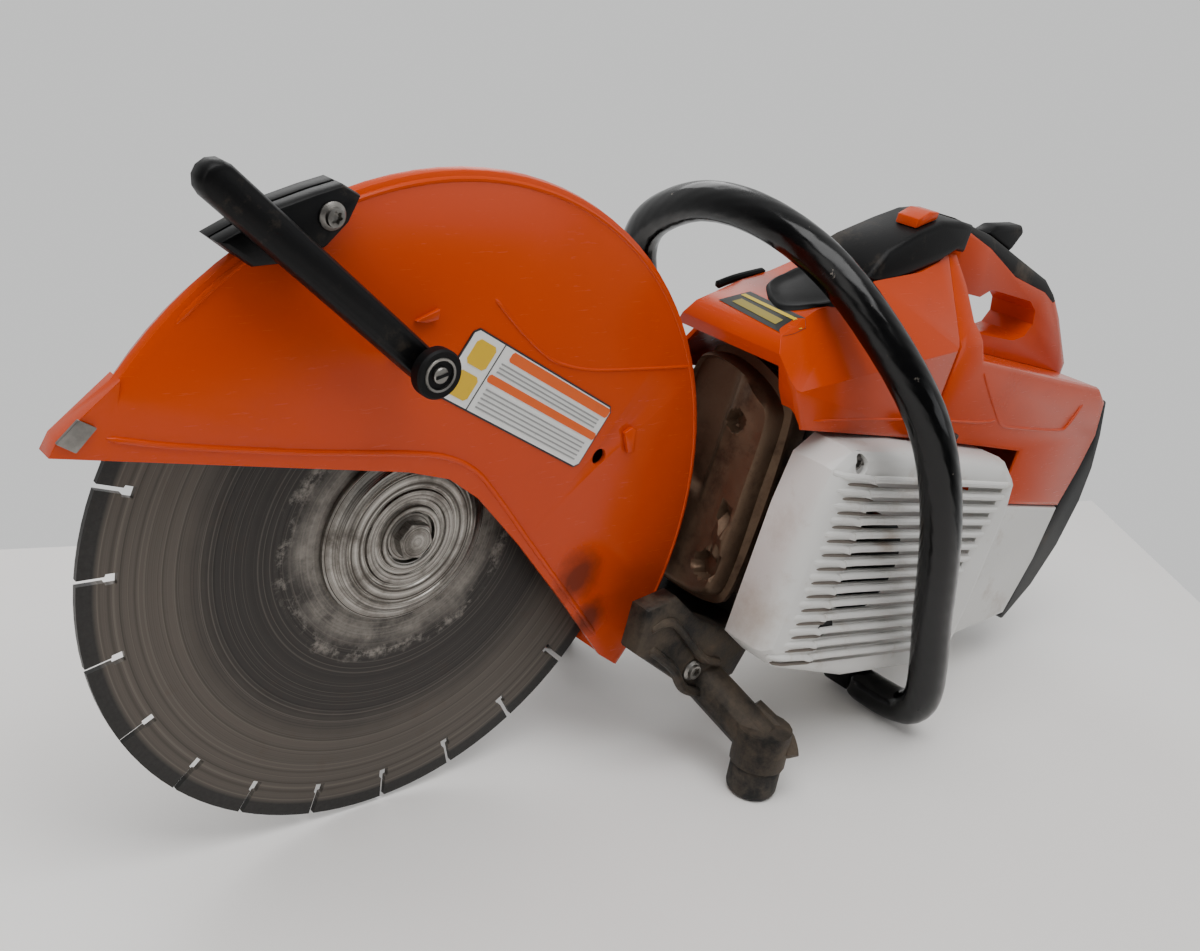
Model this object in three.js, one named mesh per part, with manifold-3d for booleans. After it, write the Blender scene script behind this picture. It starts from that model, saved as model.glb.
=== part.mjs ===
// Hand-held petrol cut-off saw, 350 mm wheel.
//
// Everything is drawn in the machine's own frame, in millimetres, then set down on the floor:
//   origin  centre of the cutting wheel
//   X       towards the rear handle
//   Y       the operator's right, along the wheel's spindle
//   Z       up, square to the line from the wheel to the rear handle
// The saw rests tail-down on its front feet and its handlebar, so the last step pitches it.

import * as THREE from "three";
import { mergeVertices } from "three/addons/utils/BufferGeometryUtils.js";
import Module from "manifold-3d";

const wasm = await Module();
wasm.setup();

// ---------------------------------------------------------------- driving dimensions

const GAP = 0.3;                       // clearance between touching parts
const PITCH = THREE.MathUtils.degToRad(10);
const FLOOR = -178;                    // floor height below the hub, measured square to the floor

const WHEEL = { radius: 175, half: 1.6, bore: 10.2, slots: 23, slotWidth: 3, slotDepth: 13, eye: 4 };
const FIRST_SLOT = THREE.MathUtils.degToRad(172.8);

const FLANGE = { radius: 51, thick: 8 };
const SPINDLE = { radius: 9.9, shoulder: 12, bore: 5.3 };

const GUARD = { radius: 200, half: 24, edge: 43, reach: 240 };
const NOSE_ANGLE = Math.PI - Math.asin(GUARD.edge / GUARD.reach);
const TIP_ANGLE = THREE.MathUtils.degToRad(-25);

const CRANK = { x: 295, z: 20 };
const BELT = { front: 50, rear: 29, near: 39, far: 47, thick: 4 };

const COVER = { near: -104, far: -68, wall: 2.6 };
const BODY = { near: -80, far: 52, wall: 3 };
const BAR = { radius: 13.5 };

// ---------------------------------------------------------------- materials

const paint = (color, roughness, metalness = 0) =>
  new THREE.MeshStandardMaterial({ color, roughness, metalness });

const ORANGE = paint(0xd2500f, 0.4);
const WHITE = paint(0xc9c8c4, 0.5);
const BLACK = paint(0x1d1e20, 0.55);
const RUBBER = paint(0x141415, 0.85);
const STEEL = paint(0x9a9894, 0.35, 1);
const BLADE_STEEL = paint(0x45403b, 0.5, 0.8);
const ALUMINIUM = paint(0x8d8c88, 0.5, 0.9);
const HEAT_STAINED = paint(0x4a3c31, 0.6, 0.7);

// ---------------------------------------------------------------- solids

// A closed solid from a three.js geometry, facing out.
function solid(geometry) {
  geometry.deleteAttribute("normal");
  geometry.deleteAttribute("uv");
  const merged = mergeVertices(geometry, 1e-4);
  const position = merged.attributes.position;
  const index = merged.index.array;
  const kept = [];
  let volume = 0;
  const a = new THREE.Vector3();
  const b = new THREE.Vector3();
  const c = new THREE.Vector3();
  for (let i = 0; i < index.length; i += 3) {
    const [p, q, r] = [index[i], index[i + 1], index[i + 2]];
    if (p === q || q === r || p === r) continue;
    kept.push(p, q, r);
    a.fromBufferAttribute(position, p);
    b.fromBufferAttribute(position, q);
    c.fromBufferAttribute(position, r);
    volume += a.dot(b.cross(c));
  }
  if (volume < 0) kept.reverse();
  return new wasm.Manifold(new wasm.Mesh({
    numProp: 3,
    vertProperties: new Float32Array(position.array),
    triVerts: new Uint32Array(kept),
  }));
}

const join = (...parts) => parts.reduce((whole, part) => whole.add(part));
const cut = (body, ...tools) => tools.reduce((left, tool) => left.subtract(tool), body);

function block([x0, x1], [y0, y1], [z0, z1]) {
  const geometry = new THREE.BoxGeometry(x1 - x0, y1 - y0, z1 - z0);
  geometry.translate((x0 + x1) / 2, (y0 + y1) / 2, (z0 + z1) / 2);
  return solid(geometry);
}

// A side view outline of [x, z] points, given thickness from y0 to y1 and rounded edges.
function slab(outline, y0, y1, round = 0, steps = 2) {
  const shape = outline instanceof THREE.Shape
    ? outline
    : new THREE.Shape(outline.map(([x, z]) => new THREE.Vector2(x, z)));
  const geometry = new THREE.ExtrudeGeometry(shape, {
    depth: y1 - y0 - 2 * round,
    bevelEnabled: round > 0,
    bevelThickness: round,
    bevelSize: round,
    bevelOffset: -round,
    bevelSegments: steps,
    curveSegments: 8,
    steps: 1,
  });
  geometry.rotateX(Math.PI / 2);
  geometry.translate(0, y1 - round, 0);
  return solid(geometry);
}

// A turned part about a line along Y through (x, z); the profile is [radius, y] points.
function turned(profile, x = 0, z = 0, segments = 32) {
  const points = profile.map(([radius, y]) => new THREE.Vector2(radius, y));
  const geometry = new THREE.LatheGeometry(points, segments);
  geometry.translate(x, 0, z);
  return solid(geometry);
}

const rod = (radius, y0, y1, x = 0, z = 0, segments = 24) =>
  turned([[0, y0], [radius, y0], [radius, y1], [0, y1]], x, z, segments);

const ring = (outer, inner, y0, y1, x = 0, z = 0, segments = 32) =>
  turned([[inner, y0], [outer, y0], [outer, y1], [inner, y1], [inner, y0]], x, z, segments);

// A turned part whose own axis runs from one point to another; the profile is [radius, distance].
function turnedAlong(profile, from, to, segments = 20) {
  const start = new THREE.Vector3(...from);
  const direction = new THREE.Vector3(...to).sub(start).normalize();
  const points = profile.map(([radius, distance]) => new THREE.Vector2(radius, distance));
  const geometry = new THREE.LatheGeometry(points, segments);
  const turn = new THREE.Quaternion().setFromUnitVectors(new THREE.Vector3(0, 1, 0), direction);
  geometry.applyQuaternion(turn);
  geometry.translate(...from);
  return solid(geometry);
}

function strut(from, to, radius, segments = 20) {
  const length = new THREE.Vector3(...from).distanceTo(new THREE.Vector3(...to));
  return turnedAlong([[0, 0], [radius, 0], [radius, length], [0, length]], from, to, segments);
}

// A round bar bent through a list of points.
function bentBar(points, radius, steps, segments = 12) {
  const path = new THREE.CatmullRomCurve3(points.map((p) => new THREE.Vector3(...p)), false, "centripetal");
  const section = new THREE.Shape();
  for (let i = 0; i < segments; i += 1) {
    const angle = (2 * Math.PI * i) / segments;
    const [u, v] = [radius * Math.cos(angle), radius * Math.sin(angle)];
    if (i === 0) section.moveTo(u, v);
    else section.lineTo(u, v);
  }
  return solid(new THREE.ExtrudeGeometry(section, { steps, extrudePath: path, bevelEnabled: false }));
}

const around = (radius, angle) => [radius * Math.cos(angle), radius * Math.sin(angle)];

function arc(radius, from, to, steps, x = 0, z = 0) {
  const points = [];
  for (let i = 0; i <= steps; i += 1) {
    const [u, v] = around(radius, from + ((to - from) * i) / steps);
    points.push([x + u, z + v]);
  }
  return points;
}

// The outline of a belt or a cover wrapped round two circles.
function wrap(frontRadius, rearRadius) {
  const distance = Math.hypot(CRANK.x, CRANK.z);
  const lean = Math.atan2(CRANK.z, CRANK.x);
  const spread = Math.acos((frontRadius - rearRadius) / distance);
  const front = arc(frontRadius, lean + spread, lean - spread + 2 * Math.PI, 20);
  const rear = arc(rearRadius, lean - spread, lean + spread, 20, CRANK.x, CRANK.z);
  return [...front, ...rear];
}

// ---------------------------------------------------------------- wheel and spindle

function cuttingWheel() {
  const outline = [];
  const pitch = (2 * Math.PI) / WHEEL.slots;
  const mouth = WHEEL.slotWidth / 2 / WHEEL.radius;
  const floor = WHEEL.radius - WHEEL.slotDepth;
  const eyeCentre = floor - WHEEL.eye * 0.8;
  for (let i = 0; i < WHEEL.slots; i += 1) {
    const angle = FIRST_SLOT + i * pitch;
    const [cos, sin] = [Math.cos(angle), Math.sin(angle)];
    const place = (radial, side) => [radial * cos - side * sin, radial * sin + side * cos];
    outline.push(place(floor, -WHEEL.slotWidth / 2));
    for (const turn of [0.25, 0.75, 1.25, 1.75]) {
      const swing = turn * Math.PI;
      outline.push(place(eyeCentre + WHEEL.eye * Math.cos(swing), -WHEEL.eye * Math.sin(swing)));
    }
    outline.push(place(floor, WHEEL.slotWidth / 2));
    outline.push(...arc(WHEEL.radius, angle + mouth, angle + pitch - mouth, 5));
  }
  return cut(slab(outline, -WHEEL.half, WHEEL.half), rod(WHEEL.bore, -5, 5));
}

function frontFlange() {
  const face = -WHEEL.half - GAP;
  return turned([
    [SPINDLE.bore, face],
    [FLANGE.radius, face],
    [FLANGE.radius, face - 3],
    [FLANGE.radius - 14, face - FLANGE.thick],
    [19, face - FLANGE.thick],
    [16, face - 4],
    [SPINDLE.bore, face - 4],
    [SPINDLE.bore, face],
  ], 0, 0, 48);
}

function wheelBolt() {
  const seat = -WHEEL.half - GAP - 4 - GAP;
  const head = slab(arc(11, 0, 2 * Math.PI * (5 / 6), 5), seat - 9, seat - 1.8, 1, 1);
  const washer = rod(14, seat - 2, seat, 0, 0, 28);
  const shank = rod(SPINDLE.bore - GAP, seat - 1, 14);
  return join(head, washer, shank);
}

function rearFlange() {
  const face = WHEEL.half + GAP;
  return turned([
    [SPINDLE.radius + GAP, face],
    [FLANGE.radius, face],
    [FLANGE.radius, face + 3],
    [28, face + FLANGE.thick],
    [SPINDLE.radius + GAP, face + FLANGE.thick],
    [SPINDLE.radius + GAP, face],
  ], 0, 0, 48);
}

function spindle() {
  const shoulder = WHEEL.half + FLANGE.thick + 2 * GAP;
  return turned([
    [SPINDLE.bore, -WHEEL.half],
    [SPINDLE.radius, -WHEEL.half],
    [SPINDLE.radius, shoulder],
    [SPINDLE.shoulder, shoulder],
    [SPINDLE.shoulder, 54],
    [0, 54],
    [0, 18],
    [SPINDLE.bore, 18],
    [SPINDLE.bore, -WHEEL.half],
  ], 0, 0, 28);
}

const pulley = (radius, bore, x, z) => turned([
  [bore, BELT.near - 3],
  [radius + 5, BELT.near - 3],
  [radius + 5, BELT.near - 1],
  [radius - GAP, BELT.near + 1],
  [radius - GAP, BELT.far - 1],
  [radius + 5, BELT.far + 1],
  [radius + 5, BELT.far + 3],
  [bore, BELT.far + 3],
  [bore, BELT.near - 3],
], x, z, 30);

const drivenPulley = () => pulley(BELT.front, SPINDLE.shoulder + GAP, 0, 0);

// ---------------------------------------------------------------- guard and its lever

const guardLowerEdge = [[-25, 43], [2, 40], [26, 29], [64, 2], [110, -34], [160, -75]];

// Half of the guard's section as [radius, y]: full width at the near face, tapering to the far one.
const guardSection = [[0, -24], [194, -24], [199, -22], [200, -18], [195, -10], [184, 4], [177, 24], [0, 24]];
const guardHollow = [[0, -21.2], [193, -21.2], [196.6, -19], [192.4, -11.6], [181.2, 3.2], [174.4, 21.2], [0, 21.2]];

function guardShell() {
  const sector = slab([...arc(GUARD.reach, TIP_ANGLE, NOSE_ANGLE, 24), ...guardLowerEdge], -30, 30);
  const dish = turned(guardSection, 0, 0, 96).intersect(sector);
  const nose = slab([[-183, 79], [-204, 51], [-206, 43], [-180, 43]], -24, -13);
  const hollow = turned(guardHollow, 0, 0, 96);
  const spindleHole = rod(41, 15, 30, 0, 0, 36);
  return cut(join(dish, cut(nose, hollow)), hollow, spindleHole, rod(5, -30, -15, 105, 57, 16));
}

const guardNoseClip = () => slab([
  [-205, 50], [-196, 46.5], [-189.5, 58], [-198, 61],
], -26, -GUARD.half - GAP);

const BRACKET = { near: -36, far: -17, face: -GUARD.half - GAP };
const LEVER_SCREW = [-112, 164];

// A casting that covers a patch of the near face and wraps over the rim.
function leverBracket() {
  const outline = [
    [-160, 144], [-142, 136], [-122, 141], [-110, 150], [-102, 162], [-99, 175],
    [-109, 178], [-121, 172], [-137, 163], [-150, 152],
  ];
  const patch = slab(outline, BRACKET.near, BRACKET.face, 3, 2);
  const overRim = cut(slab(outline, BRACKET.face - 1, BRACKET.far), rod(GUARD.radius + GAP, -50, 50, 0, 0, 128));
  return cut(join(patch, overRim), rod(3.3, -40, BRACKET.face + 1, ...LEVER_SCREW, 16));
}

const LEVER_TOP = [-172, 170];
const LEVER_END = [-50, 105];

function guardLever() {
  const [x0, z0] = LEVER_TOP;
  const [x1, z1] = LEVER_END;
  const angle = Math.atan2(z1 - z0, x1 - x0);
  const outline = [
    ...arc(8.5, angle + Math.PI / 2, angle + 1.5 * Math.PI, 6, x0, z0),
    ...arc(8, angle - Math.PI / 2, angle + Math.PI / 2, 6, x1, z1),
  ];
  const y1 = BRACKET.near - GAP;
  return cut(slab(outline, y1 - 14, y1, 4, 2), rod(6, -70, 0, x1, z1, 20));
}

const leverScrew = () => join(
  rod(6.5, BRACKET.near - 4, BRACKET.near - GAP, ...LEVER_SCREW, 16),
  rod(3, BRACKET.near - 1, BRACKET.face - GAP, ...LEVER_SCREW, 12),
);

function waterConnector() {
  const [x, z] = LEVER_END;
  const face = BRACKET.near - 14 - 2 * GAP;
  const collar = ring(9.5, 4, face - 6, face, x, z, 24);
  const core = rod(5.5, face - 4, BRACKET.face, x, z, 20);
  return cut(join(collar, core), block([x - 5, x + 5], [face - 6, face - 2], [z - 0.8, z + 0.8]));
}

// ---------------------------------------------------------------- arm and belt drive

function armCasting() {
  const plate = slab(wrap(56, 50), 26, 32);
  const boss = rod(34, 12, 32, 0, 0, 36);
  const crankHole = rod(14, 20, 40, CRANK.x, CRANK.z);
  const lighten = slab([[75, 14], [190, 22], [190, -2], [75, -14]], 20, 40);
  return cut(join(plate, boss), rod(24 + GAP, 12 - 1, 40), crankHole, lighten);
}

const spindleBearing = () => ring(24, SPINDLE.shoulder + GAP, 13, 31, 0, 0, 28);

function beltCover() {
  const near = 32 + GAP;
  const outside = slab(wrap(62, 55), near, 64, 6, 2);
  const hollow = slab(wrap(59, 52), near - 10, 61, 5, 2);
  return cut(outside, hollow);
}

const driveBelt = () => cut(
  slab(wrap(BELT.front + BELT.thick, BELT.rear + BELT.thick), BELT.near + 1.3, BELT.far - 1.3),
  slab(wrap(BELT.front, BELT.rear), 0, 90),
);

const clutchDrum = () => join(
  pulley(BELT.rear, 9 + GAP, CRANK.x, CRANK.z),
  cut(
    rod(36, BELT.far + 2.5, 60, CRANK.x, CRANK.z, 36),
    rod(33, BELT.far + 4, 61, CRANK.x, CRANK.z, 36),
    rod(9 + GAP, 0, 70, CRANK.x, CRANK.z),
  ),
);

function clutchShoes() {
  const disc = ring(30, 9 + GAP, 52, 59, CRANK.x, CRANK.z, 30);
  const slot = (angle) => {
    const tool = block([20, 40], [40, 70], [-1.5, 1.5]);
    return tool.rotate([0, angle, 0]).translate([CRANK.x, 0, CRANK.z]);
  };
  return cut(disc, slot(0), slot(120), slot(240));
}

// ---------------------------------------------------------------- engine

function crankcase() {
  const body = slab([
    [258, -44], [340, -44], [352, -20], [352, 52], [338, 62], [258, 62], [252, 40], [252, -30],
  ], -52, 25, 4, 1);
  const chamber = rod(34, -30, 5, CRANK.x, CRANK.z, 30);
  const bore = rod(9.5, -70, 40, CRANK.x, CRANK.z);
  return cut(body, chamber, bore);
}

function crankshaft() {
  const shaft = rod(9, -88, 60.2, CRANK.x, CRANK.z);
  const webs = [[-28, -18], [-7, 3]].map(([y0, y1]) => rod(31, y0, y1, CRANK.x, CRANK.z, 28));
  return join(shaft, ...webs);
}

function flywheel() {
  const disc = ring(44, 9 + GAP, -66, -58, CRANK.x, CRANK.z, 30);
  const count = 12;
  const vanes = [];
  for (let i = 0; i < count; i += 1) {
    const vane = block([22, 42], [-72, -65], [-1.2, 1.2]);
    vanes.push(vane.rotate([0, (360 * i) / count, 0]).translate([CRANK.x, 0, CRANK.z]));
  }
  return join(disc, ...vanes);
}

const starterPulley = () => ring(30, 9 + GAP, -85, -76, CRANK.x, CRANK.z, 32);

function cylinder() {
  const core = block([262, 332], [-44, 16], [62 + GAP, 146]);
  const fins = [];
  for (let z = 72; z < 140; z += 9) {
    fins.push(block([254, 340], [-54, 24], [z, z + 2.6]));
  }
  const bore = turnedAlong([[0, 0], [22, 0], [22, 70], [0, 70]], [CRANK.x, -14, 60], [CRANK.x, -14, 150], 28);
  const plugHole = strut([CRANK.x, -14, 120], [CRANK.x, -14, 150], 5.5, 16);
  return cut(join(core, ...fins), bore, plugHole);
}

const sparkPlug = () => turnedAlong([
  [0, 0], [5, 0], [5, 15], [9, 15], [9, 22], [5.5, 22], [5.5, 38], [0, 38],
], [CRANK.x, -14, 131.5], [CRANK.x, -14, 200], 18);

const sparkPlugBoot = () => cut(
  strut([CRANK.x, -14, 156], [CRANK.x, -14, 178], 10, 18),
  strut([CRANK.x, -14, 150], [CRANK.x, -14, 170], 5.5 + GAP, 18),
);

const MUFFLER = { front: 206, rear: 249, near: -58, far: 24, low: -32, high: 128 };

function mufflerBox() {
  const { front, rear, near, far, low, high } = MUFFLER;
  const outline = (grow) => new THREE.Shape([
    [near - grow + 10, low - grow], [far + grow - 10, low - grow], [far + grow, low - grow + 12],
    [far + grow, high + grow - 12], [far + grow - 16, high + grow], [near - grow + 34, high + grow - 4],
    [near - grow + 8, high + grow - 16], [near - grow, high + grow - 30], [near - grow, low - grow + 16],
  ].map(([y, z]) => new THREE.Vector2(y, z)));
  const pressed = (grow, x0, x1, round) => {
    const geometry = new THREE.ExtrudeGeometry(outline(grow), {
      depth: x1 - x0 - 2 * round,
      bevelEnabled: round > 0,
      bevelThickness: round,
      bevelSize: round,
      bevelOffset: -round,
      bevelSegments: 2,
      steps: 1,
    });
    geometry.translate(0, 0, x0 + round);
    geometry.applyMatrix4(new THREE.Matrix4().set(0, 0, 1, 0, 1, 0, 0, 0, 0, 1, 0, 0, 0, 0, 0, 1));
    return solid(geometry);
  };
  const shell = pressed(-4, front, rear, 8);
  const seam = pressed(0, front + 18, front + 21.5, 0);
  const hollow = pressed(-7, front + 3, rear - 3, 7);
  const outlet = strut([front + 20, 0, 4], [front - 10, -14, 4], 9, 20);
  const port = strut([rear - 10, -14, 84], [rear + 5, -14, 84], 14, 20);
  return cut(join(shell, seam), hollow, outlet, port);
}

const exhaustPort = () => cut(
  strut([MUFFLER.rear + GAP, -14, 84], [254 - GAP, -14, 84], 19, 24),
  strut([MUFFLER.rear - 5, -14, 84], [260, -14, 84], 13, 24),
);

const mufflerBolt = () => join(
  strut([236, -34, 131], [236, -34, 137], 5, 6),
  strut([236, -34, 126], [236, -34, 132], 3, 12),
);

function carburettor() {
  const body = block([348, 384], [-34, 6], [84, 124]);
  const throat = strut([340, -14, 104], [392, -14, 104], 11, 20);
  return cut(body, throat);
}

const intakeBoot = () => cut(
  strut([340 + GAP, -14, 104], [348 - GAP, -14, 104], 18, 24),
  strut([330, -14, 104], [360, -14, 104], 11, 24),
);

const airFilter = () => cut(
  block([296, 342], [-34, 4], [179, 195]),
  block([302, 336], [-28, -2], [170, 190]),
);

// ---------------------------------------------------------------- starter side

const COVER_OUTLINE = [
  [221, 84], [236, 97], [300, 100], [425, 98], [446, 85], [452, 60], [450, -16], [446, -50],
  [400, -63], [316, -64], [240, -52], [216, -38], [217, 50],
];

const COVER_SCREW = [244, 89];

function starterCover() {
  const inset = (amount) => {
    const centre = [334, 16];
    return COVER_OUTLINE.map(([x, z]) => {
      const [dx, dz] = [x - centre[0], z - centre[1]];
      const length = Math.hypot(dx, dz);
      return [centre[0] + dx * (1 - amount / length), centre[1] + dz * (1 - amount / length)];
    });
  };
  const outside = slab(COVER_OUTLINE, COVER.near, COVER.far + 12, 12, 3);
  const trim = block([200, 470], [COVER.far, 0], [-90, 120]);
  const hollow = slab(inset(4), COVER.near + COVER.wall, COVER.far + 20, 11, 3);
  const louvres = [];
  for (let i = 0; i < 14; i += 1) {
    const z = 77 - i * 9.4;
    louvres.push(block([258 + i * 0.8, 425 - i * 2.5], [COVER.near - 5, COVER.near + 8], [z - 1.6, z + 1.6]));
  }
  const [x, z] = COVER_SCREW;
  const shell = join(cut(outside, trim, hollow, ...louvres), rod(8, -97, -78, x, z, 18));
  return cut(shell, rod(6.3, -120, -95, x, z, 16), rod(3.3, -120, -60, x, z, 14));
}

const coverScrew = () => join(
  rod(6, -98, -95 - GAP, ...COVER_SCREW, 16),
  rod(3, -96, -74, ...COVER_SCREW, 12),
);

const starterGrip = () => slab([[324, 100.6], [354, 100.6], [357, 112], [321, 112]], -96, -83, 3, 2);

const springHousing = () => cut(
  rod(34, -100.5, -87, CRANK.x, CRANK.z, 32),
  rod(31, -98, -80, CRANK.x, CRANK.z, 32),
);

// ---------------------------------------------------------------- shrouds and handles

// The wedge beyond a sloping facet between a shroud's side and its top. The facet runs from a
// side point to a top point, both [y, z] at x = 260, and climbs by rise for each step to the rear.
function shoulder([y0, z0], [y1, z1], rise, inset) {
  const side = Math.sign(y1 - y0);
  const length = Math.hypot(y1 - y0, z1 - z0);
  const [dy, dz] = [(side * (z1 - z0)) / length, (side * -(y1 - y0)) / length];
  const wedge = new THREE.Shape([
    [3 * y0 - 2 * y1, 3 * z0 - 2 * z1], [3 * y1 - 2 * y0, 3 * z1 - 2 * z0], [y0 - side * 120, 3 * z1 - 2 * z0],
  ].map(([y, z]) => new THREE.Vector2(y + inset * dy, z + inset * dz)));
  const geometry = new THREE.ExtrudeGeometry(wedge, { depth: 600, bevelEnabled: false });
  const foot = rise * (100 - 260);
  geometry.applyMatrix4(new THREE.Matrix4().set(0, 0, 1, 100, 1, 0, 0, 0, 0, 1, rise, foot, 0, 0, 0, 1));
  return solid(geometry);
}

const shoulders = (inset) => join(
  shoulder([BODY.near, 142], [-42, 204], 0.27, inset),
  shoulder([BODY.far, 117], [10, 186], 0.47, inset),
);

function hood() {
  const outside = slab([
    [207, 99.5], [189, 121], [178, 141], [181, 151], [214, 169], [240, 178], [292, 205],
    [345, 223], [345, 101],
  ], BODY.near, BODY.far, 4, 2);
  const inside = slab([
    [213, 70], [193, 122], [184, 141], [215, 165.5], [241, 174.5], [293, 201.5], [362, 225], [362, 70],
  ], BODY.near + BODY.wall, BODY.far - BODY.wall, 4, 2);
  const frontOpening = block([150, 212], [BODY.near + 14, BODY.far - 14], [70, 134]);
  return cut(outside, shoulders(0), cut(inside, shoulders(BODY.wall)), frontOpening, coverSeat());
}

const COVER_PLAN = { near: -50, far: 16, rear: 358 };

// The room the filter cover takes out of the shrouds under it.
const coverSeat = () => slab([
  [261.7, 192.6], [281, 189.6], [305, 200.6], [333, 213.6], [348, 223.6], [COVER_PLAN.rear, 223.6],
  [COVER_PLAN.rear, 260], [261.7, 260],
], COVER_PLAN.near - GAP, COVER_PLAN.far + GAP);

function filterCover() {
  const outside = slab([
    [262, 193], [281, 190], [305, 201], [333, 214], [348, 224], [COVER_PLAN.rear, 224],
    [COVER_PLAN.rear, 243], [343, 243], [322, 239.5], [300, 229], [274, 213],
  ], COVER_PLAN.near, COVER_PLAN.far, 4, 3);
  const inside = slab([
    [266, 180], [266, 197], [278, 211], [302, 225], [323, 235.5], [344, 239], [354, 239], [354, 228],
    [346, 228], [331, 218], [304, 205], [284, 195], [284, 180],
  ], COVER_PLAN.near + 3, COVER_PLAN.far - 3);
  const slope = (inset) => shoulder([COVER_PLAN.far, 181], [-14, 216], 0.42, inset);
  return cut(outside, slope(0), cut(inside, slope(3)));
}

const stopSwitch = () => slab([
  [301, 229.9], [321, 239.4], [321, 244], [311, 242.5], [301, 236],
], -44, -27);

function rearHousing() {
  const outside = slab([
    [345 + GAP, 101], [345 + GAP, 222], [353, 222], [360, 204], [363, 184], [381, 161],
    [566, 156], [584, 146], [592, 118], [587, 90], [576, 56], [478, 56], [478, 98.5],
  ], BODY.near, 45, 4, 2);
  const inside = slab([
    [340, 70], [340, 218], [351, 218], [356.5, 203], [359.5, 182], [380, 157],
    [565, 152], [581, 144], [588, 118], [583, 91], [574, 30], [482, 30], [482, 70],
  ], BODY.near + BODY.wall, 45 - BODY.wall, 3, 2);
  return cut(outside, shoulders(0), cut(inside, shoulders(BODY.wall)), coverSeat());
}

const HANDLE = { near: -40, far: -2 };

// The whole handle, grip and frame together, standing on the rear housing.
function handleSolid() {
  const outline = [
    [360.5, 244], [410, 240.5], [452, 232.5], [503, 223], [523, 214], [541, 201],
    [560, 184], [580, 166], [582, 140], [582, 90], [360.5, 90],
  ];
  const housing = slab([
    [300, 80], [300, 222.4], [353.4, 222.4], [360.4, 204], [363.4, 184.2], [381.2, 161.3],
    [566, 156.3], [584.3, 146.3], [600, 118], [600, 80],
  ], -90, 60);
  const hole = slab([
    [350, 198], [413, 198], [425, 205], [484, 204], [496, 198], [500, 188], [494, 178], [480, 173], [350, 173],
  ], -60, 20);
  return cut(slab(outline, HANDLE.near, HANDLE.far, 9, 3), housing, hole);
}

const gripRegion = (offset) => slab([
  [340, 242], [372, 238], [404, 231.8], [450, 218], [500, 213], [518, 207], [530, 211], [560, 230],
  [560, 280], [340, 280],
].map(([x, z]) => [x - offset, z + offset]), -60, 20);

const handleFrame = () => cut(
  handleSolid(),
  gripRegion(0),
  block([392, 431], [-31, -11], [196, 213]),
);

const gripSleeve = () => cut(
  handleSolid().intersect(gripRegion(GAP)),
  block([412, 470], [-30, -12], [223, 260]),
);

const throttleTrigger = () => slab([
  [396, 203.4], [412, 203.4], [412, 196], [420, 186], [415, 181], [402, 188],
], -29, -13, 2, 1);

const throttleLockout = () => slab([
  [414, 241], [452, 233], [462, 250], [456, 254], [424, 248],
], -28, -14, 2, 1);

function tankHousing() {
  const outside = slab([
    [456, 56 - GAP], [575, 56 - GAP], [571, 10], [557, -38], [458, -60], [320, -66], [320, -58], [436, -52], [456, -30],
  ], BODY.near, 58, 3, 2);
  const sideTrim = block([300, 458], [-90, -64], [-80, 70]);
  const tongueTrim = block([300, 440], [50, 70], [-80, 70]);
  const hollow = slab([[462, 51], [569, 51], [565, 10], [552, -33], [462, -54]], BODY.near + 4, 54, 4, 1);
  const filler = rod(16, 40, 70, 512, 10, 24);
  return cut(outside, sideTrim, tongueTrim, hollow, filler);
}

const fuelCap = () => join(
  rod(22, 58 + GAP, 70, 512, 10, 24),
  rod(15, 46, 59, 512, 10, 24),
);

// A curved skid across the back of the tank.
function rearSkid() {
  const outline = [
    [585.5, 147], [592.6, 118], [587.6, 90], [576.6, 56], [572, 10], [558, -41],
    [568, -46], [594, -16], [611, 20], [619, 60], [617, 90], [608, 118], [594, 146],
  ];
  return slab(outline, BODY.near + 4, 41, 2, 2);
}

const rearFoot = () => strut([520, -40, -48.6], [524, -40, -64], 12, 18);

// ---------------------------------------------------------------- handlebar and feet

const barPlane = (z) => 343 - 0.66 * z;

function handlebar() {
  const points = [
    [118, 72], [118, 86], [120, 104], [126, 128], [127, 150], [119, 170], [104, 184], [82, 196],
    [52, 207], [18, 211], [-14, 208], [-45, 199], [-69, 186], [-91, 168], [-110, 149],
    [-126, 126], [-134, 98], [-136, 66], [-134, 31], [-130, -6], [-127, -47],
    [-121, -78], [-107, -93], [-90, -95.2], [-62, -95],
  ];
  return bentBar(points.map(([y, z]) => [barPlane(z), y, z]), BAR.radius, 44);
}

function upperBarClamp() {
  const socket = block([276, 316], [64 + GAP, 136], [56, 84]);
  const reach = block([282, 310], [30, 70], [77, 84]);
  const bar = strut([barPlane(71), 118, 71], [barPlane(140), 118, 140], BAR.radius + GAP, 20);
  return cut(join(socket, reach), bar);
}

const lowerBarClamp = () => slab([
  [392, -63.6], [430, -61.8], [426, -80], [418, -104], [400, -104], [392, -86],
], -61.6, -36, 3, 2);

const footBottom = (x, lift = 0) => (FLOOR + lift + x * Math.sin(PITCH)) / Math.cos(PITCH);

const FOOT = { x: 250, y: 104, height: 22 };

const down = [Math.sin(PITCH), 0, -Math.cos(PITCH)];
const footPoint = (side, lift) => [
  FOOT.x - down[0] * lift,
  side * FOOT.y,
  footBottom(FOOT.x) - down[2] * lift,
];

const FOOT_BOLT = [207, -70];

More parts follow.
